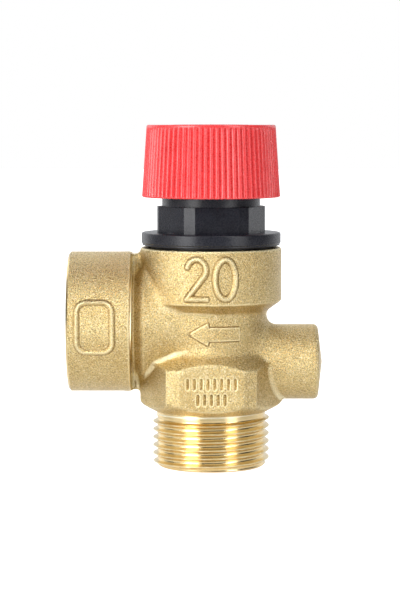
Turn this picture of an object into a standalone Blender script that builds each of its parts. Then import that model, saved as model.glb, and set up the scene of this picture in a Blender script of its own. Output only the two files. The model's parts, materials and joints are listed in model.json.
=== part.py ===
"""Pressure relief valve with a lifting knob: cast body, bonnet, spring stack and stem.

Dimensions are in millimetres and the helpers turn them into metres.  Z runs up the valve's
axis, the origin is on that axis at the end face of the inlet thread, the outlet points along
-X and the blind gauge boss along +X.
"""
import math

import bmesh
import bpy

MM = 0.001
GAP = 0.3                    # between two pieces that touch
SEGMENTS = 40                # round the large turned pieces
SMALL_SEGMENTS = 16          # round the small ones
SMOOTH_ANGLE = math.radians(30)
MERGE = 0.00001
# Angle of the first side of a turned piece by its role, which keeps the corners of pieces
# that are joined or cut clear of each other
FIRST_SIDE = {"part": 0.0, "join": math.radians(2.3), "cut": math.radians(4.1)}

# Pipe thread G 3/4, on the inlet outside and in the outlet inside
THREAD_R = 13.22
THREAD_ROOT_R = 12.06
THREAD_PITCH = 1.814

# Cast body
INLET_TURNS = 5
INLET_BORE_R = 9.0
INLET_END_R = 11.8
COLLAR_OUTLINE = ((7.4, 15.0), (10.05, 13.5), (16.0, 3.2))   # a quarter, from the flat
COLLAR_LOW = 11.5
COLLAR_TOP = 27.0
CHAMBER_R = 12.6
CHAMBER_BORE_R = 10.6
SHOULDER_LOW = 34.8
SHOULDER_TOP = 37.5
UPPER_R = 15.9
BODY_TOP = 49.5
OUTLET_Z = 32.7
OUTLET_R = 15.8
OUTLET_END = 32.0            # axis to the outlet's end face
OUTLET_THREAD_END = 18.0
OUTLET_PASSAGE_R = 7.0
GAUGE_Z = 23.5
GAUGE_R = 8.5
GAUGE_END = 25.3

# Seat and diaphragm stack, from the bottom up
SEAT_R = 7.25
SEAT_RIM_R = 8.8
SEAT_Z = 26.6
SEAT_FLOOR = 22.5
LEDGE_Z = 41.0               # where the diaphragm's rim rests
LEDGE_R = 11.2
BONNET_BORE_R = 13.8         # thread in the body for the bonnet
STEM_R = 3.0
STEM_HOLE_R = STEM_R + GAP
STEM_LOW = 33.6
STEM_TOP = 72.0
DISC_R = 10.0
WASHER_LOW = SEAT_Z + GAP
WASHER_T = 2.5
RECESS_Z = WASHER_LOW + WASHER_T + GAP
DISC_TOP = RECESS_Z + 2.5
DISC_BOSS_TOP = 37.6
SUPPORT_LOW = DISC_BOSS_TOP + GAP
SUPPORT_T = 0.8
DIAPHRAGM_LOW = SUPPORT_LOW + SUPPORT_T + GAP
DIAPHRAGM_T = 1.2
RIM_LOW = LEDGE_Z + GAP
PLATE_LOW = DIAPHRAGM_LOW + DIAPHRAGM_T + GAP
PLATE_T = 2.5
PLATE_BOSS_H = 1.0
NUT_LOW = PLATE_LOW + PLATE_T + PLATE_BOSS_H + GAP
SLIP_LOW = RIM_LOW + DIAPHRAGM_T + GAP
SLIP_T = 0.8

# Bonnet, spring and preload ring
BONNET_LOW = SLIP_LOW + SLIP_T + GAP
BONNET_SPIGOT_R = BONNET_BORE_R - GAP
BONNET_CAVITY_R = 9.6
FLANGE_LOW = 50.1
FLANGE_TOP = 52.9
FLANGE_R = 15.7
HEX_TOP = 58.8
HEX_ACROSS = 22.3
HEX_FACET_ACROSS = 24.2      # across the facets on its corners
HEX_TURN = math.radians(-23.5)
NECK_R = 11.05
NECK_TOP = 64.6
O_RING_R = 14.7
O_RING_SECTION = 0.5
SPRING_R = 7.6
SPRING_WIRE_R = 1.1
SPRING_LOW = PLATE_LOW + PLATE_T + GAP
SPRING_TOP = 58.3
RING_R = 9.3
RING_LOW = 60.1
RING_TOP = 63.8

# Cam teeth that lift the stem as the knob turns
CAM_TEETH = 4
CAM_RISE = 2.1
CAM_RAMP = math.radians(82)
CAM_START = math.radians(3)  # where the first ramp begins
CAM_LOW = 64.9
CAM_INNER_R = 9.9
CAM_OUTER_R = 10.75

# Knob
KNOB_LOW = 60.8
KNOB_TOP = 77.0
KNOB_LOW_R = 15.6
KNOB_TOP_R = 14.5
KNOB_RIBS = 72
RIB_DEPTH = 0.4
KNOB_CAVITY_R = 13.3
WEB_LOW = 69.8
WEB_TOP = 71.8
HUB_R = 6.0
HUB_LOW = 67.4
CAP_R = 11.6
CAP_LOW = 75.5


def clear_scene():
    for thing in list(bpy.data.objects):
        bpy.data.objects.remove(thing)


def make_collection(name):
    made = bpy.data.collections.new(name)
    bpy.context.scene.collection.children.link(made)
    return made


clear_scene()
PARTS = make_collection("pressure_relief_valve")
CUTTERS = make_collection("cutters")


def principled(name, colour, metallic, roughness):
    made = bpy.data.materials.new(name)
    made.use_nodes = True
    shader = made.node_tree.nodes["Principled BSDF"]
    shader.inputs["Base Color"].default_value = (*colour, 1.0)
    shader.inputs["Metallic"].default_value = metallic
    shader.inputs["Roughness"].default_value = roughness
    return made


def empty(name, height, parent=None):
    made = bpy.data.objects.new(name, None)
    PARTS.objects.link(made)
    made.parent = parent
    made.location.z = height * MM - (parent.location.z if parent else 0.0)
    return made


def new_object(name, mesh, cutter=False):
    made = bpy.data.objects.new(name, mesh)
    (CUTTERS if cutter else PARTS).objects.link(made)
    if cutter:
        made.hide_render = True
        made.display_type = "WIRE"
    return made


def turned(name, profile, segments=SEGMENTS, ring=False, role="part"):
    """A profile of (radius, height) points turned about Z, drawn down its outer side."""
    mesh = bpy.data.meshes.new(name)
    across = (math.cos(FIRST_SIDE[role]) * MM, math.sin(FIRST_SIDE[role]) * MM)
    points = [(r * across[0], r * across[1], z * MM) for r, z in profile]
    edges = [(i, i + 1) for i in range(len(points) - 1)]
    if ring:
        edges.append((len(points) - 1, 0))
    mesh.from_pydata(points, edges, [])
    made = new_object(name, mesh, role != "part")
    screw = made.modifiers.new("turn", "SCREW")
    screw.axis = "Z"
    screw.angle = math.tau
    screw.steps = segments
    screw.render_steps = segments
    screw.use_smooth_shade = True
    screw.use_merge_vertices = True
    screw.merge_threshold = MERGE
    return made


def washer_profile(inner, outer, low, top):
    return [(outer, top), (outer, low), (inner, low), (inner, top)]


def outline_solid(name, outline, low, top, cutter=False):
    """A closed XY outline filled and made as thick as top - low."""
    flat = bpy.data.curves.new(name, "CURVE")
    flat.dimensions = "2D"
    flat.fill_mode = "BOTH"
    flat.extrude = 0.5 * (top - low) * MM
    spline = flat.splines.new("POLY")
    spline.points.add(len(outline) - 1)
    for point, (x, y) in zip(spline.points, outline):
        point.co = (x * MM, y * MM, 0.0, 1.0)
    spline.use_cyclic_u = True
    return as_mesh(name, flat, 0.5 * (low + top), cutter)


def as_mesh(name, curve, height=0.0, cutter=False):
    """A curve made into a mesh object whose caps are welded on."""
    drawn = bpy.data.objects.new(name, curve)
    PARTS.objects.link(drawn)
    drawn.location.z = height * MM
    bpy.context.view_layer.update()
    graph = bpy.context.evaluated_depsgraph_get()
    mesh = bpy.data.meshes.new_from_object(drawn.evaluated_get(graph))
    weld = bmesh.new()
    weld.from_mesh(mesh)
    bmesh.ops.remove_doubles(weld, verts=weld.verts, dist=MERGE)
    bmesh.ops.recalc_face_normals(weld, faces=weld.faces)
    weld.to_mesh(mesh)
    weld.free()
    place = drawn.matrix_world.copy()
    bpy.data.objects.remove(drawn)
    made = new_object(name, mesh, cutter)
    made.matrix_world = place
    return made


def prism(name, sides, corner_r, low, top, turn=0.0, cutter=False):
    """A regular prism with its first corner at +Y, then turned about Z."""
    mesh = bpy.data.meshes.new(name)
    solid = bmesh.new()
    bmesh.ops.create_cone(solid, cap_ends=True, segments=sides, radius1=corner_r * MM,
                          radius2=corner_r * MM, depth=(top - low) * MM)
    solid.to_mesh(mesh)
    solid.free()
    made = new_object(name, mesh, cutter)
    made.location.z = 0.5 * (low + top) * MM
    made.rotation_euler.z = turn
    return made


def box(name, low, high, cutter=True):
    mesh = bpy.data.meshes.new(name)
    solid = bmesh.new()
    bmesh.ops.create_cube(solid, size=1.0)
    sides = [(b - a) * MM for a, b in zip(low, high)]
    bmesh.ops.scale(solid, vec=sides, verts=solid.verts)
    solid.to_mesh(mesh)
    solid.free()
    made = new_object(name, mesh, cutter)
    made.location = [0.5 * (a + b) * MM for a, b in zip(low, high)]
    return made


def combine(target, other, operation):
    step = target.modifiers.new(operation.lower(), "BOOLEAN")
    step.object = other
    step.operation = operation
    step.solver = "EXACT"


def lay_along_x(made, height, direction):
    """Turn a piece made about Z so that its axis runs out along X at a height."""
    made.rotation_euler.y = direction * math.pi / 2
    made.location.z = height * MM


def thread_wall(start, crest, root, turns, pitch, direction=-1):
    """Points of a ring-grooved wall from a start height, downwards unless direction is 1."""
    points = []
    for turn in range(turns):
        at = start + direction * turn * pitch
        points += [(crest, at), (root, at + direction * 0.5 * pitch)]
    points.append((crest, start + direction * turns * pitch))
    return points


def arc(centre_r, centre_z, radius, first, last, steps):
    """Points on an arc in the (radius, height) plane, angles in degrees from +radius."""
    angles = [math.radians(first + (last - first) * i / steps) for i in range(steps + 1)]
    return [(centre_r + radius * math.cos(a), centre_z + radius * math.sin(a)) for a in angles]


def finish(made, material, parent):
    made.data.materials.clear()
    made.data.materials.append(material)
    made.parent = parent
    made.matrix_parent_inverse = parent.matrix_world.inverted()
    made.data.shade_smooth()
    made.data.set_sharp_from_angle(angle=SMOOTH_ANGLE)


# ---------------------------------------------------------------- cast body

def collar():
    """Spanner collar: two flats, cropped corners and a bevel above and below."""
    quarter = list(COLLAR_OUTLINE)
    right = quarter + [(x, -y) for x, y in reversed(quarter)]
    outline = right + [(-x, -y) for x, y in right]
    made = outline_solid("collar", outline, COLLAR_LOW - 1.0, COLLAR_TOP + 1.0, cutter=True)
    envelope = turned("collar_bevels", [
        (0.0, COLLAR_TOP), (12.1, COLLAR_TOP), (16.9, 22.7),
        (16.9, 14.1), (12.1, COLLAR_LOW), (0.0, COLLAR_LOW)], role="cut")
    combine(made, envelope, "INTERSECT")
    return made


def outlet_boss():
    made = turned("outlet_boss", [
        (0.0, OUTLET_END), (OUTLET_R - 0.4, OUTLET_END), (OUTLET_R, OUTLET_END - 0.4),
        (OUTLET_R, 18.2), (OUTLET_R - 0.6, 17.6), (14.4, 16.4), (13.7, 15.1),
        (13.0, 10.0), (12.2, 5.0), (11.0, 0.0), (0.0, 0.0)], role="join")
    lay_along_x(made, OUTLET_Z, -1)
    return made


def gauge_boss():
    rounded = arc(GAUGE_R - 1.0, 23.2, 1.0, 90, 0, 4)
    made = turned("gauge_boss", [
        (0.0, GAUGE_END), (2.5, GAUGE_END - 0.1), *rounded, (GAUGE_R, 16.6),
        (GAUGE_R + 0.5, 14.6), (GAUGE_R + 1.6, 12.8), (GAUGE_R + 1.6, 9.0), (0.0, 5.0)],
        segments=32, role="join")
    lay_along_x(made, GAUGE_Z, 1)
    return made


def body_bore():
    """Inlet bore, seat nozzle, chamber, diaphragm ledge and the seat for the bonnet."""
    return turned("body_bore", [
        (0.0, BODY_TOP + 1.0), (BONNET_BORE_R + 0.5, BODY_TOP + 1.0),
        (BONNET_BORE_R + 0.5, BODY_TOP - 0.9), (BONNET_BORE_R, BODY_TOP - 1.4),
        (BONNET_BORE_R, LEDGE_Z), (LEDGE_R, LEDGE_Z), (CHAMBER_BORE_R, LEDGE_Z - 2.0),
        (CHAMBER_BORE_R, SEAT_FLOOR), (SEAT_RIM_R, SEAT_FLOOR), (SEAT_RIM_R - 0.4, SEAT_Z),
        (SEAT_R, SEAT_Z), (SEAT_R, 21.5), (INLET_BORE_R, 19.5), (INLET_BORE_R, 0.8),
        (INLET_BORE_R + 1.8, -1.0), (0.0, -1.0)], role="cut")


def outlet_bore():
    """Threaded outlet socket and the passage that leads to it from the chamber."""
    turns = 7
    wall = thread_wall(OUTLET_END - 1.2, THREAD_ROOT_R, THREAD_R, turns, THREAD_PITCH)
    made = turned("outlet_bore", [
        (0.0, OUTLET_END + 1.0), (THREAD_R + 1.4, OUTLET_END + 1.0), *wall,
        (THREAD_ROOT_R, OUTLET_THREAD_END),
        (OUTLET_PASSAGE_R, 16.0), (OUTLET_PASSAGE_R, 6.0), (0.0, 6.0)], role="cut")
    lay_along_x(made, OUTLET_Z, -1)
    return made


def valve_body(material, parent):
    thread_top = 1.2 + INLET_TURNS * THREAD_PITCH
    made = turned("valve_body", [
        (0.0, BODY_TOP), (UPPER_R - 0.4, BODY_TOP), (UPPER_R, BODY_TOP - 0.4),
        (UPPER_R, SHOULDER_TOP), (CHAMBER_R, SHOULDER_LOW), (CHAMBER_R, 13.6),
        (THREAD_R, 12.9), *thread_wall(thread_top, THREAD_R, THREAD_ROOT_R, INLET_TURNS,
                                       THREAD_PITCH),
        (INLET_END_R, 0.0), (0.0, 0.0)])
    for piece in (collar(), outlet_boss(), gauge_boss()):
        combine(made, piece, "UNION")
    for cutter in (body_bore(), outlet_bore()):
        combine(made, cutter, "DIFFERENCE")
    finish(made, material, parent)


# ---------------------------------------------------------------- cam teeth

def cam_height(angle):
    """Height of the cam surface above its foot at an angle about Z."""
    period = math.tau / CAM_TEETH
    along = (angle - CAM_START) % period
    if along <= CAM_RAMP:
        return CAM_RISE * along / CAM_RAMP
    return CAM_RISE * (period - along) / (period - CAM_RAMP)


def cam_ring(name, base, cam_base):
    """A ring flat at the height base, whose other side follows the cam above cam_base."""
    period = math.tau / CAM_TEETH
    ramp_steps = 10
    angles = [CAM_START + tooth * period + CAM_RAMP * step / ramp_steps
              for tooth in range(CAM_TEETH) for step in range(ramp_steps + 1)]
    solid = bmesh.new()
    columns = []
    for angle in angles:
        cam = cam_base + cam_height(angle)
        corners = ((CAM_INNER_R, base), (CAM_OUTER_R, base), (CAM_OUTER_R, cam), (CAM_INNER_R, cam))
        columns.append([solid.verts.new((r * math.cos(angle) * MM, r * math.sin(angle) * MM,
                                         z * MM)) for r, z in corners])
    for index, column in enumerate(columns):
        beside = columns[(index + 1) % len(columns)]
        for side in range(4):
            other = (side + 1) % 4
            solid.faces.new((column[side], column[other], beside[other], beside[side]))
    bmesh.ops.recalc_face_normals(solid, faces=solid.faces)
    mesh = bpy.data.meshes.new(name)
    solid.to_mesh(mesh)
    solid.free()
    return new_object(name, mesh, cutter=True)


# ---------------------------------------------------------------- bonnet and its contents

def bonnet_hexagon():
    """Spanner hexagon with a narrow facet on each corner, open where the neck passes."""
    made = prism("bonnet_hexagon", 6, HEX_ACROSS / math.sqrt(3), FLANGE_TOP - 1.0, HEX_TOP,
                 turn=HEX_TURN, cutter=True)
    facets = prism("hexagon_facets", 6, HEX_FACET_ACROSS / math.sqrt(3), FLANGE_TOP - 3.0,
                   HEX_TOP + 3.0, turn=HEX_TURN + math.radians(30), cutter=True)
    combine(made, facets, "INTERSECT")
    inside_neck = NECK_R - 0.7
    opening = turned("hexagon_opening", [
        (0.0, HEX_TOP + 2.0), (inside_neck, HEX_TOP + 2.0), (inside_neck, FLANGE_TOP - 2.0),
        (0.0, FLANGE_TOP - 2.0)], role="cut")
    combine(made, opening, "DIFFERENCE")
    return made


def bonnet(material, parent):
    groove_inner = O_RING_R - O_RING_SECTION - GAP
    groove_outer = O_RING_R + O_RING_SECTION + GAP
    edge = arc(FLANGE_R - 0.5, FLANGE_TOP - 0.5, 0.5, 90, 0, 3)
    made = turned("bonnet", [
        (NECK_R, NECK_TOP), (NECK_R, FLANGE_TOP), *edge, (FLANGE_R, FLANGE_LOW + 0.3),
        (FLANGE_R - 0.1, FLANGE_LOW), (groove_outer, FLANGE_LOW),
        (groove_outer, FLANGE_LOW + 1.0), (groove_inner, FLANGE_LOW + 1.0),
        (groove_inner, FLANGE_LOW), (BONNET_SPIGOT_R, FLANGE_LOW),
        (BONNET_SPIGOT_R, BONNET_LOW + 0.4), (BONNET_SPIGOT_R - 0.4, BONNET_LOW), (BONNET_CAVITY_R, BONNET_LOW),
        (BONNET_CAVITY_R, NECK_TOP)], ring=True)
    combine(made, bonnet_hexagon(), "UNION")
    combine(made, cam_ring("bonnet_cam", NECK_TOP - 1.0, CAM_LOW), "UNION")
    finish(made, material, parent)


def bonnet_o_ring(material, parent):
    bpy.ops.mesh.primitive_torus_add(
        major_radius=O_RING_R * MM, minor_radius=O_RING_SECTION * MM, major_segments=SEGMENTS,
        minor_segments=8, location=(0.0, 0.0, (BODY_TOP + GAP + O_RING_SECTION) * MM))
    made = bpy.context.object
    made.name = "bonnet_o_ring"
    for owner in list(made.users_collection):
        owner.objects.unlink(made)
    PARTS.objects.link(made)
    finish(made, material, parent)


def slip_ring(material, parent):
    made = turned("slip_ring", washer_profile(LEDGE_R + 0.2, BONNET_SPIGOT_R, SLIP_LOW,
                                              SLIP_LOW + SLIP_T), ring=True)
    finish(made, material, parent)


def diaphragm(material, parent):
    """A rubber disc whose centre hangs below its clamped rim."""
    flat_r = 8.0
    low = DIAPHRAGM_LOW
    top = low + DIAPHRAGM_T
    rim_top = RIM_LOW + DIAPHRAGM_T
    made = turned("diaphragm", [
        (13.5, rim_top), (13.5, RIM_LOW), (LEDGE_R - 0.2, RIM_LOW), (flat_r + 1.6, low + 0.9),
        (flat_r, low), (STEM_HOLE_R, low), (STEM_HOLE_R, top), (flat_r - 0.4, top),
        (flat_r + 1.2, top + 0.9), (LEDGE_R - 0.6, rim_top)], ring=True)
    finish(made, material, parent)


def spring(material, parent):
    """A helix of round wire with closed end turns."""
    end_turns = 0.75
    active_turns = 3.0
    end_pitch = 2 * SPRING_WIRE_R + GAP
    low = SPRING_LOW + SPRING_WIRE_R
    high = SPRING_TOP - SPRING_WIRE_R
    active_pitch = (high - low - 2 * end_turns * end_pitch) / active_turns
    turns = 2 * end_turns + active_turns
    steps = 14 * int(math.ceil(turns))
    wire = bpy.data.curves.new("spring", "CURVE")
    wire.dimensions = "3D"
    wire.bevel_depth = SPRING_WIRE_R * MM
    wire.bevel_resolution = 2
    wire.use_fill_caps = True
    spline = wire.splines.new("POLY")
    spline.points.add(steps)
    for index, point in enumerate(spline.points):
        turn = turns * index / steps
        active = min(max(turn - end_turns, 0.0), active_turns)
        height = low + end_pitch * (turn - active) + active_pitch * active
        angle = math.tau * turn
        point.co = (SPRING_R * math.cos(angle) * MM, SPRING_R * math.sin(angle) * MM,
                    height * MM, 1.0)
    finish(as_mesh("spring", wire), material, parent)


def upper_spring_washer(material, parent):
    made = turned("upper_spring_washer", washer_profile(
        STEM_R + 0.6, BONNET_CAVITY_R - 0.4, SPRING_TOP + GAP, RING_LOW - GAP), ring=True)
    finish(made, material, parent)


def adjusting_ring(material, parent):
    """Threaded ring that sets the spring's preload, slotted on top for a pin spanner."""
    made = turned("adjusting_ring", [
        (RING_R, RING_TOP), *thread_wall(RING_TOP - 0.4, RING_R, RING_R - 0.4, 2, 1.5),
        (RING_R, RING_LOW), (STEM_R + 0.6, RING_LOW), (STEM_R + 0.6, RING_TOP)], ring=True)
    slot = box("adjuster_slot", (-RING_R - 1.0, -1.0, RING_TOP - 1.2),
               (RING_R + 1.0, 1.0, RING_TOP + 1.0))
    combine(made, slot, "DIFFERENCE")
    finish(made, material, parent)


# ---------------------------------------------------------------- stem and what it carries

def valve_disc(material, parent):
    """Disc with a recess below for the seat washer and a threaded boss above for the stem."""
    screw_r = 2.0
    screw_end = RECESS_Z + 2.9
    stem_end = STEM_LOW - GAP
    made = turned("valve_disc", [
        (0.0, stem_end), (STEM_HOLE_R, stem_end), (STEM_HOLE_R, DISC_BOSS_TOP),
        (6.0, DISC_BOSS_TOP), (6.0, DISC_TOP + 0.8), (6.8, DISC_TOP), (DISC_R, DISC_TOP),
        (DISC_R, WASHER_LOW + 1.0), (DISC_R - 0.5, WASHER_LOW + 1.0), (DISC_R - 0.5, RECESS_Z),
        (screw_r, RECESS_Z), (screw_r, screw_end), (0.0, screw_end)], segments=32)
    finish(made, material, parent)


def seat_washer(material, parent):
    made = turned("seat_washer", washer_profile(2.2, DISC_R - 0.8, WASHER_LOW,
                                                WASHER_LOW + WASHER_T), ring=True)
    finish(made, material, parent)


def washer_retainer(material, parent):
    top = WASHER_LOW - GAP
    made = turned("washer_retainer", [
        (5.6, top), (5.2, top - 1.2), (2.1, top - 1.2), (2.1, top)],
        segments=SMALL_SEGMENTS, ring=True)
    finish(made, material, parent)


def round_screw(name, head_r, head_h, shank_r, shank_length, direction, seat, driver):
    """A cheese-head screw whose head rests at the height seat; direction is where it points."""
    tip = seat + direction * shank_length
    crown = seat - direction * head_h
    profile = [(0.0, crown), (head_r - 0.4, crown), (head_r, crown + direction * 0.4),
               (head_r, seat), (shank_r, seat), (shank_r, tip - direction * 0.4),
               (shank_r - 0.4, tip), (0.0, tip)]
    if direction > 0:
        profile.reverse()
    made = turned(name, profile, segments=SMALL_SEGMENTS)
    crown_side = sorted((crown - direction * 1.0, crown + direction * driver))
    for turn, sides in enumerate(((head_r * 0.62, 0.45), (0.45, head_r * 0.62))):
        slot = box(f"{name}_slot_{turn}", (-sides[0], -sides[1], crown_side[0]),
                   (sides[0], sides[1], crown_side[1]))
        combine(made, slot, "DIFFERENCE")
    return made


def washer_screw(material, parent):
    made = round_screw("washer_screw", 3.6, 1.7, 1.7, 6.6, 1, WASHER_LOW - 2 * GAP - 1.2, 0.9)
    finish(made, material, parent)


def diaphragm_washer(material, parent):
    made = turned("diaphragm_washer", washer_profile(
        STEM_HOLE_R, 8.2, SUPPORT_LOW, SUPPORT_LOW + SUPPORT_T), ring=True)
    finish(made, material, parent)


def diaphragm_plate(material, parent):
    """Plate on the diaphragm that carries the spring and centres it."""
    top = PLATE_LOW + PLATE_T
    made = turned("diaphragm_plate", [
        (5.5, top + PLATE_BOSS_H), (5.9, top), (BONNET_CAVITY_R - 0.4, top),
        (BONNET_CAVITY_R - 0.4, top - 1.0), (7.4, PLATE_LOW), (STEM_HOLE_R, PLATE_LOW),
        (STEM_HOLE_R, top + PLATE_BOSS_H)], ring=True)
    finish(made, material, parent)


def stem(material, parent):
    tapped_r = 2.0
    tapped_floor = STEM_TOP - 7.5
    made = turned("stem", [
        (0.0, tapped_floor), (tapped_r, tapped_floor), (tapped_r, STEM_TOP),
        (STEM_R - 0.3, STEM_TOP), (STEM_R, STEM_TOP - 0.3), (STEM_R, STEM_LOW + 0.5),
        (STEM_R - 0.5, STEM_LOW), (0.0, STEM_LOW)], segments=SMALL_SEGMENTS)
    finish(made, material, parent)


def stem_lock_nut(material, parent):
    across = 8.0
    height = 2.8
    made = prism("stem_lock_nut", 6, across / math.sqrt(3), NUT_LOW, NUT_LOW + height)
    hole = turned("lock_nut_hole", [
        (0.0, NUT_LOW + height + 1.0), (STEM_HOLE_R, NUT_LOW + height + 1.0),
        (STEM_HOLE_R, NUT_LOW - 1.0), (0.0, NUT_LOW - 1.0)],
        segments=SMALL_SEGMENTS, role="cut")
    combine(made, hole, "DIFFERENCE")
    finish(made, material, parent)


def knob_screw_washer(material, parent):
    low = STEM_TOP + GAP
    made = turned("knob_screw_washer", washer_profile(2.0, 5.6, low, low + 0.8),
                  segments=SMALL_SEGMENTS, ring=True)
    finish(made, material, parent)


def knob_screw(material, parent):
    seat = STEM_TOP + 2 * GAP + 0.8
    made = round_screw("knob_screw", 3.8, 1.8, 1.7, 7.6, -1, seat, 1.0)
    finish(made, material, parent)


# ---------------------------------------------------------------- knob

def ribbed_cone():
    """The knob's tapered outside, with every other corner sunk between two ribs."""
    mesh = bpy.data.meshes.new("knob")
    solid = bmesh.new()
    height = KNOB_TOP - 0.9 - KNOB_LOW
    bmesh.ops.create_cone(solid, cap_ends=True, segments=2 * KNOB_RIBS, radius1=KNOB_LOW_R * MM,
                          radius2=KNOB_TOP_R * MM, depth=height * MM)
    half_step = math.tau / (2 * KNOB_RIBS)
    for corner in solid.verts:
        place = round(math.atan2(corner.co.y, corner.co.x) / half_step)
        if place % 2:
            radius = corner.co.xy.length
            corner.co.xy *= (radius - RIB_DEPTH * MM) / radius
    solid.to_mesh(mesh)
    solid.free()
    made = new_object("knob", mesh)
    made.location.z = (KNOB_LOW + 0.5 * height) * MM
    return made


def knob(material, parent):
    made = ribbed_cone()
    rim = turned("knob_rim", [
        (0.0, KNOB_TOP), (KNOB_TOP_R - 0.5, KNOB_TOP), (KNOB_TOP_R - 0.1, KNOB_TOP - 0.4),
        (KNOB_TOP_R - 0.1, KNOB_TOP - 2.0), (0.0, KNOB_TOP - 2.0)], segments=48, role="join")
    combine(made, rim, "UNION")
    hollow = turned("knob_hollow", [
        (0.0, KNOB_TOP + 1.0), (CAP_R + GAP, KNOB_TOP + 1.0), (CAP_R + GAP, WEB_TOP),
        (STEM_HOLE_R, WEB_TOP), (STEM_HOLE_R, HUB_LOW), (HUB_R, HUB_LOW), (HUB_R, WEB_LOW),
        (KNOB_CAVITY_R, WEB_LOW), (KNOB_CAVITY_R, KNOB_LOW - 1.0), (0.0, KNOB_LOW - 1.0)],
        role="cut")
    combine(made, hollow, "DIFFERENCE")
    combine(made, cam_ring("knob_cam", WEB_LOW + 0.8, CAM_LOW + GAP), "UNION")
    finish(made, material, parent)


def knob_cap(material, parent):
    made = turned("knob_cap", [
        (0.0, KNOB_TOP + 0.1), (7.0, KNOB_TOP + 0.05), (CAP_R - 0.6, KNOB_TOP - 0.15),
        (CAP_R, KNOB_TOP - 0.6), (CAP_R, WEB_TOP + GAP), (CAP_R - 1.2, WEB_TOP + GAP),
        (CAP_R - 1.2, CAP_LOW), (0.0, CAP_LOW)])
    finish(made, material, parent)


# ---------------------------------------------------------------- assembly

def build():
    brass = principled("cast_brass", (0.62, 0.44, 0.20), 1.0, 0.42)
    turned_brass = principled("turned_brass", (0.70, 0.52, 0.26), 1.0, 0.25)
    steel = principled("steel", (0.55, 0.55, 0.56), 1.0, 0.3)
    nylon = principled("black_nylon", (0.02, 0.02, 0.025), 0.0, 0.45)
    rubber = principled("black_rubber", (0.03, 0.03, 0.03), 0.0, 0.8)
    red = principled("red_plastic", (0.75, 0.03, 0.05), 0.0, 0.4)
    fixed = empty("fixed_parts", 0.0)
    lifting = empty("stem_axis", SEAT_Z, fixed)
    turning = empty("knob_axis", KNOB_LOW, lifting)
    bpy.context.view_layer.update()
    valve_body(brass, fixed)
    bonnet(nylon, fixed)
    bonnet_o_ring(rubber, fixed)
    slip_ring(turned_brass, fixed)
    diaphragm(rubber, fixed)
    spring(steel, fixed)
    upper_spring_washer(steel, fixed)
    adjusting_ring(turned_brass, fixed)
    valve_disc(turned_brass, lifting)
    seat_washer(rubber, lifting)
    washer_retainer(turned_brass, lifting)
    washer_screw(steel, lifting)
    diaphragm_washer(steel, lifting)
    diaphragm_plate(turned_brass, lifting)
    stem(turned_brass, lifting)
    stem_lock_nut(turned_brass, lifting)
    knob_screw_washer(steel, lifting)
    knob_screw(steel, lifting)
    knob(red, turning)
    knob_cap(red, turning)


build()
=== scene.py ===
"""Looks of the pressure relief valve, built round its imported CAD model.

Shapes are made in millimetres in the CAD model's frame and turned into metres when they are
done.  The casting is a smooth field: rounded simple shapes blended into one another, on which a
voxel mesh is settled.  The male thread is then joined to it, and the bores, the faces and the
female thread are cut into it, all as machined brass.
"""
import json
import math

import bmesh
import bpy
import numpy as np
from mathutils import Matrix, Vector


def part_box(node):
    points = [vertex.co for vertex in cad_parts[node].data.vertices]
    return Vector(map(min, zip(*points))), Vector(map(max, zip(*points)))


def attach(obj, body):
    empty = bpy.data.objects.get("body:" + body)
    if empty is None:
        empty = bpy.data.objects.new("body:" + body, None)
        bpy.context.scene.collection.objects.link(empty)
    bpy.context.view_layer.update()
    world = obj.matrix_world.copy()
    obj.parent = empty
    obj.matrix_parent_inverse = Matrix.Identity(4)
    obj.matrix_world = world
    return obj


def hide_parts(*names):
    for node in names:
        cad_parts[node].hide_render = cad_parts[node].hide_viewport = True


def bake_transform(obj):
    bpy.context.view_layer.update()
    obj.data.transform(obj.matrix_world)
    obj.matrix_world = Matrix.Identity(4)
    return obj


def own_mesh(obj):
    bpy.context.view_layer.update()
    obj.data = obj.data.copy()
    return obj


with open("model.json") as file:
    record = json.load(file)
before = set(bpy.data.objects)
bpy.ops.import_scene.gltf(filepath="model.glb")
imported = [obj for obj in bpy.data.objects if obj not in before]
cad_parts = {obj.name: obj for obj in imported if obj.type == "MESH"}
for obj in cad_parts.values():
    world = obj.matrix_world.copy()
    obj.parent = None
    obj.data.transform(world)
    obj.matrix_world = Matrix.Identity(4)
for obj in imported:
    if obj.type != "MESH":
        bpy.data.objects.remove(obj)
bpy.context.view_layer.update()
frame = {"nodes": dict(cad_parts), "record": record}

MM = 0.001
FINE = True


def box_mm(node):
    low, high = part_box(node)
    return low / MM, high / MM


# ------------------------------------------------------------------ sizes, in millimetres

BODY_LOW, BODY_HIGH = box_mm("valve_body")
BONNET_LOW, BONNET_HIGH = box_mm("bonnet")
KNOB_LOW, KNOB_HIGH = box_mm("knob")
CAP_LOW, CAP_HIGH = box_mm("knob_cap")
RING_LOW, RING_HIGH = box_mm("bonnet_o_ring")
SPRING_LOW, SPRING_HIGH = box_mm("spring")
SEAL_LOW, SEAL_HIGH = box_mm("diaphragm")

DRUM_R = BODY_HIGH.y
BODY_TOP = BODY_HIGH.z
OUTLET_END = -BODY_LOW.x
GAUGE_END = BODY_HIGH.x

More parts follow.
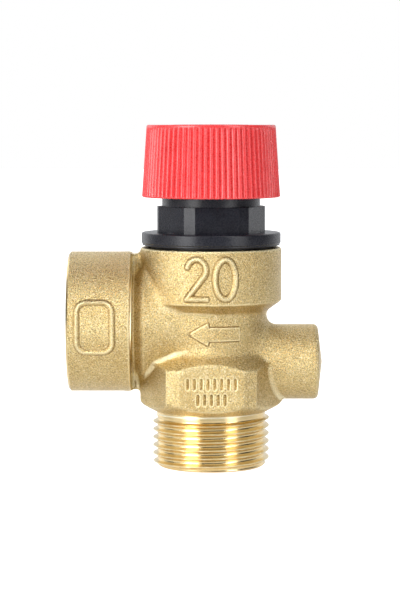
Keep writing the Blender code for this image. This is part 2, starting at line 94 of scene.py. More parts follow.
THREAD_R = 13.22            # both threads are G 3/4
THREAD_ROOT_R = 12.2
THREAD_PITCH = 1.814
THREAD_CREST = 0.05         # share of the pitch that is flat crest
THREAD_SHAPE = 2.4          # above 1, the flanks are hollow and the root is wide
CHAMBER_R = 12.6
SHOULDER_LOW = 34.8         # the cone between the chamber and the wider drum
SHOULDER_TOP = 37.5
OUTLET_Z = 32.7
OUTLET_R = 15.8
OUTLET_BACK = 18.0
OUTLET_NECK_R = 12.1
SOCKET_END = 18.0           # the female thread stops this far from the valve's axis
WEB_FROM, WEB_TO = 12.0, 19.0   # upright web behind the outlet boss, above and below the neck
WEB_HALF_WIDTH = 2.6
WEB_REACH = 15.3
GAUGE_Z = 23.5
GAUGE_R = 8.5
GAUGE_CROWN = 1.1           # how far the blind end stands out in its middle
GAUGE_RIM = 1.0
COLLAR_OUTLINE = ((7.4, 15.0), (10.05, 13.5), (16.0, 3.2))  # one quarter of the spanner collar
COLLAR_LOW = 12.6
COLLAR_TOP = 27.0
EDGE = 0.45                 # rounding of the drum's edges
SMALL_EDGE = 0.3            # rounding of the collar and of the outlet boss

DRUM_BLEND = 0.8            # widths over which the casting's shapes run into one another
NECK_BLEND = 1.4
WEB_BLEND = 1.6
BOSS_BLEND = 0.7
GAUGE_BLEND = 2.6
COLLAR_BLEND = 0.9

ARROW_HEIGHT = 0.45         # raised and cut marks
FIGURE_STROKE, FIGURE_HEIGHT = 1.35, 0.65
TAG_STROKE, TAG_HEIGHT = 1.2, 0.6
TAG_X = 25.7                # valve's axis to the middle of the tag
TALLY_STROKE, TALLY_DEPTH = 0.7, 0.42
STROKE_CROWN = 0.9          # rounding of the tops of raised strokes

FLANGE_LOW = 50.1
FLANGE_TOP = 52.9
HEX_TOP = 58.8
HEX_ACROSS = 22.3
HEX_FACET_ACROSS = 24.2
HEX_TURN = math.radians(-23.5)
NECK_R = 11.05
NECK_TOP = 64.6
BONNET_CAVITY_R = 9.6
BONNET_BORE_R = 13.8        # bore in the drum that takes the bonnet

KNOB_RIBS = 72
RIB_DEPTH = 0.48


# ------------------------------------------------------------------ meshes

def object_from(name, vertices, faces):
    mesh = bpy.data.meshes.new(name)
    mesh.from_pydata([tuple(v) for v in vertices], [], faces)
    mesh.validate()
    made = bpy.data.objects.new(name, mesh)
    bpy.context.scene.collection.objects.link(made)
    return made


def outward(made):
    """Turn all faces to point out."""
    solid = bmesh.new()
    solid.from_mesh(made.data)
    bmesh.ops.recalc_face_normals(solid, faces=solid.faces)
    solid.to_mesh(made.data)
    solid.free()
    return made


def lathe(name, profile, columns=128, closed=True, ripple=None):
    """Turn a profile of (radius, height) points about Z.

    A closed profile makes a ring.  An open one is closed by flat caps at both its ends.
    ripple(row, angles) gives what to take off the radius of a row."""
    angles = np.arange(columns) * math.tau / columns
    rows = []
    for row, (radius, height) in enumerate(profile):
        radii = np.full(columns, float(radius))
        if ripple is not None:
            radii = radii - ripple(row, angles)
        rows.append(np.stack([radii * np.cos(angles), radii * np.sin(angles),
                              np.full(columns, float(height))], axis=1))
    vertices = np.concatenate(rows)
    count = len(profile)
    faces = []
    for row in range(count if closed else count - 1):
        beside = (row + 1) % count
        for column in range(columns):
            after = (column + 1) % columns
            faces.append((row * columns + column, row * columns + after,
                          beside * columns + after, beside * columns + column))
    if not closed:
        faces.append(tuple(range(columns)))
        faces.append(tuple(range((count - 1) * columns, count * columns)))
    return outward(object_from(name, vertices, faces))


def prism(name, outline, low, high):
    """An upright solid over a closed outline."""
    count = len(outline)
    vertices = [(x, y, low) for x, y in outline] + [(x, y, high) for x, y in outline]
    faces = [(i, (i + 1) % count, count + (i + 1) % count, count + i) for i in range(count)]
    faces += [tuple(range(count)), tuple(range(count, 2 * count))]
    return outward(object_from(name, vertices, faces))


def polygon(sides, across_flats, turn):
    radius = 0.5 * across_flats / math.cos(math.pi / sides)
    angles = [turn + math.tau * i / sides for i in range(sides)]
    return [(radius * math.cos(a), radius * math.sin(a)) for a in angles]


def apply_modifiers(made):
    graph = bpy.context.evaluated_depsgraph_get()
    mesh = bpy.data.meshes.new_from_object(made.evaluated_get(graph))
    made.modifiers.clear()
    made.data = mesh
    return made


def combine(target, others, operation, solver="MANIFOLD"):
    """Join, cut or intersect a shape with others, which are used up."""
    for other in others:
        step = target.modifiers.new("combine", "BOOLEAN")
        step.object = other
        step.operation = operation
        step.solver = solver
    bpy.context.view_layer.update()
    apply_modifiers(target)
    for other in others:
        bpy.data.objects.remove(other)
    return target


def paint(made, index, materials):
    """Give all faces one index in a shared list of materials."""
    made.data.materials.clear()
    for material in materials:
        made.data.materials.append(material)
    made.data.polygons.foreach_set("material_index", [index] * len(made.data.polygons))
    return made


def lay_along_x(made, height, direction):
    """Turn a shape made along +Z to point to -X or +X, at a height."""
    turn = Matrix.Rotation(direction * math.pi / 2, 4, "Y")
    made.data.transform(Matrix.Translation((0.0, 0.0, height)) @ turn)
    return made


def done(made, body, replaced=(), sharp=math.radians(35)):
    """Scale a finished shape to metres, shade it and hang it on its CAD body."""
    made.data.transform(Matrix.Scale(MM, 4))
    made.data.shade_smooth()
    made.data.set_sharp_from_angle(angle=sharp)
    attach(made, body)
    if replaced:
        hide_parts(*replaced)
    return made


# ------------------------------------------------------------------ fields of the casting

def blend_min(a, b, width):
    """The lesser of two distances, rounded over a width where they are alike."""
    near = np.maximum(width - np.abs(a - b), 0.0) / width
    return np.minimum(a, b) - near * near * width * 0.25


def blend_max(a, b, width):
    return -blend_min(-a, -b, width)


def outline_field(u, v, outline):
    """Signed distance to a closed outline in a plane, negative inside."""
    nearest = np.full(u.shape, 1e9)
    inside = np.zeros(u.shape, bool)
    for (au, av), (bu, bv) in zip(outline, outline[1:] + outline[:1]):
        du, dv = bu - au, bv - av
        along = np.clip(((u - au) * du + (v - av) * dv) / (du * du + dv * dv), 0.0, 1.0)
        nearest = np.minimum(nearest, (u - au - along * du) ** 2 + (v - av - along * dv) ** 2)
        if av != bv:
            inside ^= ((av > v) != (bv > v)) & (u < au + du * (v - av) / dv)
    return np.where(inside, -1.0, 1.0) * np.sqrt(nearest)


def turned_field(radius, along, outline, rounding):
    """A turned shape whose convex corners are rounded; the outline is drawn inside them."""
    return outline_field(radius, along, outline) - rounding


def collar_outline(inset):
    """The collar seen from above, drawn in by what its rounding adds again."""
    front, side = COLLAR_OUTLINE[:2], COLLAR_OUTLINE[2:]
    corner = [(x - inset * 0.9, y - inset) for x, y in front] + [(x - inset, y) for x, y in side]
    right = corner + [(x, -y) for x, y in reversed(corner)]
    return right + [(-x, -y) for x, y in right]


def drum_field(x, y, z):
    r = np.hypot(x, y)
    rim = DRUM_R - EDGE
    return turned_field(r, z, [
        (-1.0, SHOULDER_LOW - 2.0), (CHAMBER_R - 2.0, SHOULDER_LOW - 0.6),
        (CHAMBER_R - EDGE, SHOULDER_LOW + 0.6), (rim, SHOULDER_TOP + 0.3),
        (rim, BODY_TOP - EDGE), (-1.0, BODY_TOP - EDGE)], EDGE)


def chamber_field(x, y, z):
    middle, half_height = 30.0, 10.0
    return np.maximum(np.hypot(x, y) - CHAMBER_R, np.abs(z - middle) - half_height)


def collar_field(x, y, z):
    sides = outline_field(x, y, collar_outline(SMALL_EDGE)) - SMALL_EDGE
    bevels = turned_field(np.hypot(x, y), z, [
        (-1.0, COLLAR_TOP - 0.5), (12.0, COLLAR_TOP - 0.5), (16.7, 22.5), (16.7, 15.8),
        (16.1, 15.0), (15.4, 14.3), (14.4, 13.7), (12.9, COLLAR_LOW + SMALL_EDGE),
        (-1.0, COLLAR_LOW + SMALL_EDGE)], SMALL_EDGE)
    return blend_max(sides, bevels, 0.35)


def outlet_fields(x, y, z):
    """The boss, the neck and the web; the boss is longer by what is faced off later."""
    r = np.hypot(y, z - OUTLET_Z)
    rim, back, end = OUTLET_R - SMALL_EDGE, OUTLET_BACK + SMALL_EDGE, OUTLET_END + 0.7
    boss = turned_field(r, -x, [(-1.0, back), (rim, back), (rim, end), (-1.0, end)], SMALL_EDGE)
    neck = outline_field(r, -x, [
        (-1.0, 0.0), (OUTLET_NECK_R, 0.0), (OUTLET_NECK_R, 8.0), (12.35, 11.5), (12.8, 15.1),
        (12.6, 15.6), (11.2, 17.4), (11.2, 20.0), (-1.0, 20.0)])
    web_middle, web_half = 0.5 * (WEB_FROM + WEB_TO), 0.5 * (WEB_TO - WEB_FROM)
    web = np.maximum(np.abs(y) - WEB_HALF_WIDTH, np.abs(-x - web_middle) - web_half)
    return boss, neck, np.maximum(web, np.abs(z - OUTLET_Z) - WEB_REACH)


def gauge_field(x, y, z):
    r = np.hypot(y, z - GAUGE_Z)
    side, start, end = GAUGE_R - GAUGE_RIM, 5.0, GAUGE_END - GAUGE_RIM
    return turned_field(r, x, [
        (-1.0, start), (side, start), (side, GAUGE_END - GAUGE_CROWN - GAUGE_RIM),
        (-1.0, end)], GAUGE_RIM)


def stroke_field(u, v, path, width):
    """Distance to a line of points with round ends."""
    nearest = np.full(u.shape, 1e9)
    for (au, av), (bu, bv) in zip(path, path[1:]):
        du, dv = bu - au, bv - av
        along = np.clip(((u - au) * du + (v - av) * dv) / (du * du + dv * dv), 0.0, 1.0)
        nearest = np.minimum(nearest, (u - au - along * du) ** 2 + (v - av - along * dv) ** 2)
    return np.sqrt(nearest) - 0.5 * width


def strokes_field(u, v, paths, width):
    fields = [stroke_field(u, v, path, width) for path in paths]
    return np.minimum.reduce(fields)


def arc_path(cu, cv, ru, rv, first, last, steps=14):
    """Points on an ellipse about (cu, cv), from one angle to another in degrees."""
    angles = [math.radians(first + (last - first) * i / steps) for i in range(steps + 1)]
    return [(cu + ru * math.cos(a), cv + rv * math.sin(a)) for a in angles]


def numeral_paths():
    """A plain 2 and a plain 0: the nominal bore of 20 mm."""
    two = arc_path(-3.3, 45.35, 2.1, 2.35, 165, -35) + [(-5.5, 38.95), (-1.1, 38.95)]
    nought = arc_path(3.1, 43.3, 2.3, 4.35, 90, 450, 28)
    return two, nought


def arrow_outline():
    """Flow arrow that points at the outlet."""
    return [(-4.9, 30.9), (-0.75, 33.4), (-0.55, 32.35), (6.4, 32.35), (6.4, 29.45),
            (-0.55, 29.45), (-0.75, 28.4)]


def tag_path():
    """Outline of a blank rounded tag on the side of the outlet boss."""
    half_u, half_v, corner = 3.9, 5.6, 2.2
    path = []
    for cu, cv, first in ((1, 1, 0), (-1, 1, 90), (-1, -1, 180), (1, -1, 270)):
        path += arc_path(cu * (half_u - corner), cv * (half_v - corner), corner, corner,
                         first, first + 90, 6)
    return path + path[:1]


def date_strokes():
    """Foundry's date tally: two rows of short upright strokes cut into the front flat."""
    spacing, half_length = 1.5, 0.95
    upper = [(-5.25 + spacing * i, 20.1) for i in range(8)]
    lower = [(-3.0 + spacing * i, 16.6) for i in range(5)]
    return [[(u, v - half_length), (u, v + half_length)] for u, v in upper + lower]


def raised(base, mark, height, crown=0.3, foot=0.2):
    """Lift a field by a height inside a mark."""
    plateau = blend_max(base - height, mark, crown)
    return blend_min(base, plateau, foot)


def sunk(base, mark, depth, softness=0.15):
    """Cut a mark into a field to a depth."""
    return blend_max(base, blend_min(-mark, base + depth, softness), softness)


def plain_field(points):
    """The casting without its marks."""
    x, y, z = points[:, 0], points[:, 1], points[:, 2]
    boss, neck, web = outlet_fields(x, y, z)
    field = drum_field(x, y, z)
    for other, width in ((chamber_field(x, y, z), DRUM_BLEND), (neck, NECK_BLEND),
                         (web, WEB_BLEND), (boss, BOSS_BLEND),
                         (gauge_field(x, y, z), GAUGE_BLEND),
                         (collar_field(x, y, z), COLLAR_BLEND)):
        field = blend_min(field, other, width)
    return field


def body_field(points):
    """The casting with its raised and cut marks."""
    x, y, z = points[:, 0], points[:, 1], points[:, 2]
    field = plain_field(points)
    front = y < -5.0
    near = np.nonzero(front & (z > 25.0) & (np.abs(x) < 11.0))[0]
    if len(near):
        px, py, pz = x[near], y[near], z[near]
        angle = np.arctan2(px, -py)
        arrow = outline_field(CHAMBER_R * angle, pz, arrow_outline()) - 0.12
        part = raised(field[near], arrow, ARROW_HEIGHT)
        figures = strokes_field(DRUM_R * angle, pz, numeral_paths(), FIGURE_STROKE)
        field[near] = raised(part, figures, FIGURE_HEIGHT, STROKE_CROWN)
    side = np.nonzero(front & (x < -OUTLET_BACK))[0]
    if len(side):
        px, py, pz = x[side], y[side], z[side]
        angle = np.arctan2(pz - OUTLET_Z, -py)
        tag = stroke_field(px + TAG_X, OUTLET_R * angle, tag_path(), TAG_STROKE)
        field[side] = raised(field[side], tag, TAG_HEIGHT, STROKE_CROWN)
    flat = np.nonzero((y < -13.0) & (np.abs(x) < 7.2) & (z > 14.0) & (z < 22.5))[0]
    if len(flat):
        tally = strokes_field(x[flat], z[flat], date_strokes(), TALLY_STROKE)
        field[flat] = sunk(field[flat], tally, TALLY_DEPTH)
    return field


def gradient(field, points):
    """The field's values at the points and its slope along each axis."""
    step = 0.01
    here = field(points)
    slope = np.empty_like(points)
    for axis in range(3):
        moved = points.copy()
        moved[:, axis] += step
        slope[:, axis] = (field(moved) - here) / step
    return here, slope


def vertex_points(made):
    points = np.empty(len(made.data.vertices) * 3)
    made.data.vertices.foreach_get("co", points)
    return points.reshape(-1, 3)


def neighbour_sums(points, edges):
    """For each point, the sum of the points that an edge joins to it."""
    total = np.empty_like(points)
    for axis in range(3):
        values = points[:, axis]
        total[:, axis] = (np.bincount(edges[:, 0], values[edges[:, 1]], len(points))
                          + np.bincount(edges[:, 1], values[edges[:, 0]], len(points)))
    return total


def settle(made, field, rounds, relax):
    """Move a mesh's vertices onto the field's surface, evening them out on the way."""
    longest_step, least_slope, last_rounds = 0.4, 0.3, 3
    mesh = made.data
    points = vertex_points(made)
    edges = np.empty(len(mesh.edges) * 2, np.int64)
    mesh.edges.foreach_get("vertices", edges)
    edges = edges.reshape(-1, 2)
    degree = np.bincount(edges.ravel(), minlength=len(points))
    for turn in range(rounds):
        here, slope = gradient(field, points)
        size = np.maximum(np.linalg.norm(slope, axis=1), least_slope)
        step = np.clip(here / size, -longest_step, longest_step)
        normal = slope / size[:, None]
        points = points - step[:, None] * normal
        if turn < rounds - last_rounds:
            shift = neighbour_sums(points, edges) / degree[:, None] - points
            shift -= np.sum(shift * normal, axis=1)[:, None] * normal
            points = points + relax * shift
    mesh.vertices.foreach_set("co", points.ravel())
    mesh.update()


def note_bend(made, name, field):
    """Store how strongly a field bends, above zero on edges and below it in hollows."""
    points = vertex_points(made)
    step = 0.3
    total = -6.0 * field(points)
    for axis in range(3):
        for side in (-step, step):
            moved = points.copy()
            moved[:, axis] += side
            total += field(moved)
    bend = made.data.attributes.new(name, "FLOAT", "POINT")
    bend.data.foreach_set("value", total / step ** 2)


def refine(made, wanted):
    """Split the edges whose middle is where wanted(x, y, z) is true."""
    solid = bmesh.new()
    solid.from_mesh(made.data)
    picked = []
    for edge in solid.edges:
        middle = 0.5 * (edge.verts[0].co + edge.verts[1].co)
        if wanted(*middle):
            picked.append(edge)
    bmesh.ops.subdivide_edges(solid, edges=picked, cuts=1, use_grid_fill=True)
    bmesh.ops.triangulate(solid, faces=[f for f in solid.faces if len(f.verts) > 4])
    solid.to_mesh(made.data)
    solid.free()


def in_marks(x, y, z):
    """True near the marks, where the mesh has to be finer."""
    on_front = y < -7.0 and abs(x) < 8.5 and 26.5 < z < 49.0
    on_boss = x < -19.5 and y < -10.0 and abs(z - OUTLET_Z) < 7.5
    on_flat = y < -14.0 and abs(x) < 6.5 and 14.8 < z < 22.0
    return on_front or on_boss or on_flat


# ------------------------------------------------------------------ machined shapes

def thread_wave(phase):
    """Height of the thread's profile from 0 in its wide root to 1 on its narrow crest."""
    away = np.abs((phase + 0.5) % 1.0 - 0.5) * 2.0
    flank = np.clip((away - THREAD_CREST) / (1.0 - THREAD_CREST), 0.0, 1.0)
    return (1.0 - flank) ** THREAD_SHAPE


def threaded_rod(name, low, high, limit):
    """A rod with a right-hand helical thread.

    limit(heights) gives the plain radius that the thread fades into, the largest radius of each
    row and the share of the thread in each row."""
    columns, step = (176, 0.1) if FINE else (96, 0.15)
    rows = int(round((high - low) / step))
    heights = low + (high - low) * np.arange(rows + 1) / rows
    floor, ceiling, fade = limit(heights)
    bend = np.zeros((rows + 1, columns))

    def ripple(row, angles):
        phase = heights[row] / THREAD_PITCH - angles / math.tau
        wave = thread_wave(phase)
        bend[row] = wave
        radii = THREAD_ROOT_R + (THREAD_R - THREAD_ROOT_R) * wave
        radii = fade[row] * radii + (1.0 - fade[row]) * floor
        return THREAD_R - np.minimum(radii, ceiling[row])

    profile = [(THREAD_R, height) for height in heights]
    rod = lathe(name, profile, columns, closed=False, ripple=ripple)
    rod.data.attributes.new("bend", "FLOAT", "POINT").data.foreach_set("value", bend.ravel())
    return rod


def inlet_thread():
    """The male thread with its chamfered end and the plain band above its run-out."""
    band_r, band_low, band_high, top = 12.3, 10.9, 11.6, 13.4
    end_r, chamfer_slope = 11.85, 1.3

    def limit(heights):
        chamfer = end_r + chamfer_slope * heights
        fade = np.clip((band_high - heights) / (band_high - band_low), 0.0, 1.0)
        return band_r, chamfer, fade

    return threaded_rod("inlet_thread", 0.0, top, limit)


def outlet_thread():
    """Cutter for the female thread, which fades out at both its ends."""
    fading, first, last = 0.8, SOCKET_END + 0.6, OUTLET_END - 1.2

    def limit(heights):
        fade_in = np.clip((heights - first) / fading, 0.0, 1.0)
        fade_out = np.clip(1.0 - (heights - last) / fading, 0.0, 1.0)
        return THREAD_ROOT_R, np.full(heights.shape, THREAD_R), fade_in * fade_out

    rod = threaded_rod("outlet_thread", SOCKET_END, OUTLET_END + 1.5, limit)
    return lay_along_x(rod, OUTLET_Z, -1)


def outlet_mouth():
    """Cutter for the wide chamfer at the mouth of the socket."""
    made = lathe("outlet_mouth", [
        (THREAD_R + 1.8, OUTLET_END + 1.4), (THREAD_ROOT_R - 0.6, OUTLET_END - 1.8)],
        closed=False)
    return lay_along_x(made, OUTLET_Z, -1)


def outlet_passage():
    """Cutter from the end of the socket into the chamber."""
    socket_r, passage_r = THREAD_ROOT_R - 0.02, 7.0
    made = lathe("outlet_passage", [
        (socket_r, SOCKET_END + 0.6), (socket_r, SOCKET_END), (passage_r, SOCKET_END - 2.0),
        (passage_r, 6.0)], closed=False)
    return lay_along_x(made, OUTLET_Z, -1)


def outlet_face():
    """Cutter that faces the boss off and leaves a narrow bevel round it."""
    bevel = 0.45
    made = lathe("outlet_face", [
        (OUTLET_R + 2.0, OUTLET_END + 3.0), (OUTLET_R + 2.0, OUTLET_END - bevel - 1.0),
        (OUTLET_R + 1.0, OUTLET_END - bevel - 1.0), (OUTLET_R - bevel, OUTLET_END),
        (5.0, OUTLET_END), (5.0, OUTLET_END + 3.0)])
    return lay_along_x(made, OUTLET_Z, -1)


def body_bore():
    """Cutter for the bore from top to bottom, which leaves the raised seat standing."""
    top, shelf, chamber_r, chamber_low = BODY_TOP + 1.0, 41.0, 10.6, 22.5
    seat_r, seat_top, inlet_r, below = 7.25, 26.6, 9.0, -0.7
    return lathe("body_bore", [
        (14.3, top), (14.3, BODY_TOP - 0.9), (BONNET_BORE_R, BODY_TOP - 1.4),
        (BONNET_BORE_R, shelf), (11.2, shelf), (chamber_r, 39.0), (chamber_r, chamber_low),
        (8.8, chamber_low), (8.6, 26.0), (8.2, seat_top), (7.6, seat_top), (seat_r, 26.2),
        (seat_r, 21.5), (inlet_r, 19.5), (inlet_r, 0.7), (10.4, below), (0.02, below),
        (0.02, top)])


# ------------------------------------------------------------------ brass body

def rough_body():
    """Plain shapes that overlap, close to the casting, as a start for its mesh."""
    def rod(name, radius, start, end, columns=64):
        return lathe(name, [(radius, end), (radius, start)], columns, closed=False)

    collar = prism("rough_collar", collar_outline(0.0), COLLAR_LOW + 0.5, COLLAR_TOP - 1.0)
    half = WEB_HALF_WIDTH
    web = [(-WEB_TO, -half), (-WEB_FROM, -half), (-WEB_FROM, half), (-WEB_TO, half)]
    pieces = [
        collar,
        rod("rough_chamber", CHAMBER_R, 20.0, 46.0, 48),
        lathe("rough_drum", [(DRUM_R, BODY_TOP), (DRUM_R, SHOULDER_TOP),
                             (CHAMBER_R, SHOULDER_LOW)], 64, closed=False),
        lay_along_x(rod("rough_boss", OUTLET_R, OUTLET_BACK, OUTLET_END + 1.0), OUTLET_Z, -1),
        lay_along_x(rod("rough_neck", OUTLET_NECK_R - 0.4, 2.0, 20.0), OUTLET_Z, -1),
        prism("rough_web", web, OUTLET_Z - WEB_REACH, OUTLET_Z + WEB_REACH),
        lay_along_x(rod("rough_gauge", GAUGE_R, 5.0, GAUGE_END - 1.0, 48), GAUGE_Z, 1),
    ]
    with bpy.context.temp_override(active_object=collar, object=collar, selected_objects=pieces,
                                   selected_editable_objects=pieces):
        bpy.ops.object.join()
    return collar


def valve_body(materials):
    """The whole brass body; materials are the cast and the machined brass."""
    casting = rough_body()
    casting.name = "valve_body_casting"
    remesh = casting.modifiers.new("voxels", "REMESH")
    remesh.mode = "VOXEL"
    remesh.voxel_size = 0.3 if FINE else 0.5
    bpy.context.view_layer.update()
    apply_modifiers(casting)
    settle(casting, body_field, rounds=10, relax=0.5)
    refine(casting, in_marks)
    settle(casting, body_field, rounds=6, relax=0.3)
    note_bend(casting, "bend", body_field)
    note_bend(casting, "fillet", plain_field)
    cast, machined = 0, 1
    paint(casting, cast, materials)
    thread = paint(inlet_thread(), machined, materials)
    combine(casting, [thread], "UNION")
    cutters = [body_bore(), outlet_face(), outlet_mouth(), outlet_thread(), outlet_passage()]
    for cutter in cutters:
        paint(cutter, machined, materials)
    combine(casting, cutters, "DIFFERENCE")
    return done(casting, "body", ["valve_body"])


# ------------------------------------------------------------------ bonnet

def bonnet(material):
    """Flange with its ring groove, hexagon with cut corners, neck and cam ramps."""
    edge = arc_path(DRUM_R - 0.6, FLANGE_TOP - 0.4, 0.4, 0.4, 90, 0, 6)
    groove_out, groove_in, groove_top = 15.5, 13.9, FLANGE_LOW + 1.0
    fillet, spigot_r = 0.25, 13.5
    made = lathe("bonnet_moulding", [
        (NECK_R - fillet, NECK_TOP), (NECK_R, NECK_TOP - fillet), (NECK_R, FLANGE_TOP + fillet),
        (NECK_R + fillet, FLANGE_TOP), *edge, (DRUM_R - 0.2, FLANGE_LOW + 0.5),
        (DRUM_R - 0.6, FLANGE_LOW + 0.1), (DRUM_R - 0.9, FLANGE_LOW),
        (groove_out, FLANGE_LOW), (groove_out, groove_top), (groove_in, groove_top),
        (groove_in, FLANGE_LOW), (spigot_r, FLANGE_LOW), (spigot_r, FLANGE_LOW - 1.5),
        (13.2, BONNET_LOW.z + 0.4), (13.0, BONNET_LOW.z), (BONNET_CAVITY_R, BONNET_LOW.z),
        (BONNET_CAVITY_R, NECK_TOP)], 160)
    hexagon = prism("bonnet_hexagon", polygon(6, HEX_ACROSS, HEX_TURN + math.radians(30)),
                    FLANGE_TOP - 1.0, HEX_TOP)
    facets = prism("hexagon_facets", polygon(6, HEX_FACET_ACROSS, HEX_TURN),
                   FLANGE_TOP - 3.0, HEX_TOP + 3.0)
    combine(hexagon, [facets], "INTERSECT", "EXACT")
    bevel = hexagon.modifiers.new("edges", "BEVEL")
    bevel.width = 0.16
    bevel.segments = 3
    bevel.limit_method = "ANGLE"
    bpy.context.view_layer.update()
    apply_modifiers(hexagon)
    opening = lathe("hexagon_opening", [(NECK_R - 0.6, HEX_TOP + 2.0),
                                        (NECK_R - 0.6, FLANGE_TOP - 2.0)], closed=False)
    combine(hexagon, [opening], "DIFFERENCE")
    cam = cam_ring("bonnet_cam", NECK_TOP - 1.0, 64.9)
    combine(made, [hexagon, cam], "UNION")
    paint(made, 0, [material])
    return done(made, "body", ["bonnet"], math.radians(25))


def cam_ring(name, base, cam_base):
    """Four ramps round a ring; the bonnet's and the knob's ride on each other."""
    teeth, rise = 4, 2.1
    ramp, start = math.radians(82), math.radians(3)
    inner, outer = 9.9, 10.75
    period = math.tau / teeth
    steps = 16
    vertices = []
    for tooth in range(teeth):
        for step in range(steps + 1):
            angle = start + tooth * period + ramp * step / steps
            top = cam_base + rise * step / steps
            for radius, height in ((inner, base), (outer, base), (outer, top), (inner, top)):
                vertices.append((radius * math.cos(angle), radius * math.sin(angle), height))
    columns = len(vertices) // 4
    faces = []
    for column in range(columns):
        beside = (column + 1) % columns
        for side in range(4):
            other = (side + 1) % 4
            faces.append((4 * column + side, 4 * column + other,
                          4 * beside + other, 4 * beside + side))
    return outward(object_from(name, vertices, faces))


def o_ring(material):
    section_r = 0.5 * (RING_HIGH.z - RING_LOW.z)
    ring_r = RING_HIGH.x - section_r
    height = 0.5 * (RING_HIGH.z + RING_LOW.z)
    profile = arc_path(ring_r, height, section_r, section_r, 0, 345, 23)
    made = lathe("o_ring", profile, 160)
    paint(made, 0, [material])
    return done(made, "body", ["bonnet_o_ring"])


# ------------------------------------------------------------------ spring and diaphragm

def spring(material):
    """Round wire with closed end turns."""
    low, high = SPRING_LOW.z, SPRING_HIGH.z
    wire_r = 1.1
    coil_r = SPRING_HIGH.x - wire_r
    end_turns, active_turns, end_pitch = 0.75, 3.0, 2.5
    active_pitch = (high - low - 2 * wire_r - 2 * end_turns * end_pitch) / active_turns
    turns = 2 * end_turns + active_turns
    steps, sides = (180, 16) if FINE else (90, 10)
    vertices = []
    for step in range(steps + 1):
        turn = turns * step / steps
        active = min(max(turn - end_turns, 0.0), active_turns)
        height = low + wire_r + end_pitch * (turn - active) + active_pitch * active
        angle = math.tau * turn
        for side in range(sides):
            around_wire = math.tau * side / sides
            radius = coil_r + wire_r * math.cos(around_wire)
            vertices.append((radius * math.cos(angle), radius * math.sin(angle),
                             height + wire_r * math.sin(around_wire)))
    faces = []
    for step in range(steps):
        for side in range(sides):
            beside = (side + 1) % sides
            faces.append((step * sides + side, step * sides + beside,
                          (step + 1) * sides + beside, (step + 1) * sides + side))
    faces.append(tuple(range(sides)))
    faces.append(tuple(range(steps * sides, (steps + 1) * sides)))
    made = outward(object_from("spring_wire", vertices, faces))
    paint(made, 0, [material])
    done(made, "body", ["spring"])
    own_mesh(made)


def diaphragm(material):
    """Rubber disc whose rim is clamped in the body."""
    low, rim_top = SEAL_LOW.z, SEAL_HIGH.z
    thick, rim_r, hole_r = 1.2, SEAL_HIGH.x, 3.3
    bead = arc_path(rim_r - 0.3, rim_top - 0.3, 0.3, 0.3, 90, 0, 4)
    made = lathe("diaphragm_disc", [
        *bead, (rim_r, rim_top - thick), (11.3, rim_top - thick), (10.6, rim_top - thick - 0.25),
        (9.7, low + 0.95), (9.0, low + 0.35), (8.2, low + 0.05), (7.6, low), (hole_r, low),
        (hole_r, low + thick), (7.4, low + thick), (8.0, low + thick + 0.1),
        (8.8, low + thick + 0.5), (9.6, low + thick + 1.0), (10.4, rim_top - 0.15),
        (11.0, rim_top)], 128)
    paint(made, 0, [material])
    made.data.transform(Matrix.Scale(MM, 4))
    made.data.shade_smooth()
    made.data.set_sharp_from_angle(angle=math.radians(35))
    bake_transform(made)
    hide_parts("diaphragm")


# ------------------------------------------------------------------ knob

def knob(material):
    """Tapered knob with fine upright ribs that stop below a plain rim."""
    low, top = KNOB_LOW.z, KNOB_HIGH.z
    low_r, top_r = KNOB_HIGH.x, 14.5
    rib_top = top - 0.55
    web_low, web_top = 69.8, 71.8
    recess_r, cavity_r, hub_r, hole_r = CAP_HIGH.x + 0.3, 13.3, 6.0, 3.3
    hub_low = 67.4
    slope = (top_r - low_r) / (top - low)

    def side(height):
        return low_r + slope * (height - low)

    outer = []
    depths = []
    for radius, height in arc_path(recess_r + 0.5, top - 0.5, 0.5, 0.5, 180, 90, 5):
        outer.append((radius, height))
        depths.append(0.0)
    for radius, height in arc_path(side(top) - 0.35, top - 0.35, 0.35, 0.35, 90, 0, 5):
        outer.append((radius, height))
        depths.append(0.0)
    full = rib_top - 0.8
    rib_rows = [(rib_top, 0.0), (rib_top - 0.12, 0.45), (rib_top - 0.35, 0.85), (full, 1.0)]
    rib_rows += [(full - (full - low - 0.5) * i / 8, 1.0) for i in range(1, 9)]
    for height, share in rib_rows:
        outer.append((side(height), height))
        depths.append(share)
    for radius, height in arc_path(side(low) - 0.4, low + 0.4, 0.4, 0.4, -10, -90, 4):
        outer.append((radius, height))
        depths.append(0.7 if radius > side(low) - 0.2 else 0.15)
    inside = [(cavity_r + 0.3, low), (cavity_r, low + 0.3), (cavity_r, web_low - 0.4),
              (cavity_r - 0.4, web_low), (hub_r + 0.3, web_low), (hub_r, web_low - 0.3),
              (hub_r, hub_low), (hole_r, hub_low), (hole_r, web_top), (recess_r, web_top)]
    profile = outer + inside
    depths += [0.0] * len(inside)

    def ripple(row, angles):
        groove = 1.0 - np.abs(np.cos(0.5 * KNOB_RIBS * angles)) ** 0.9
        return RIB_DEPTH * depths[row] * groove

    per_rib = 10 if FINE else 6
    made = lathe("knob_grip", profile, KNOB_RIBS * per_rib, ripple=ripple)
    combine(made, [cam_ring("knob_cam", web_low + 0.8, 65.2)], "UNION")
    paint(made, 0, [material])
    return done(made, "knob", ["knob"])


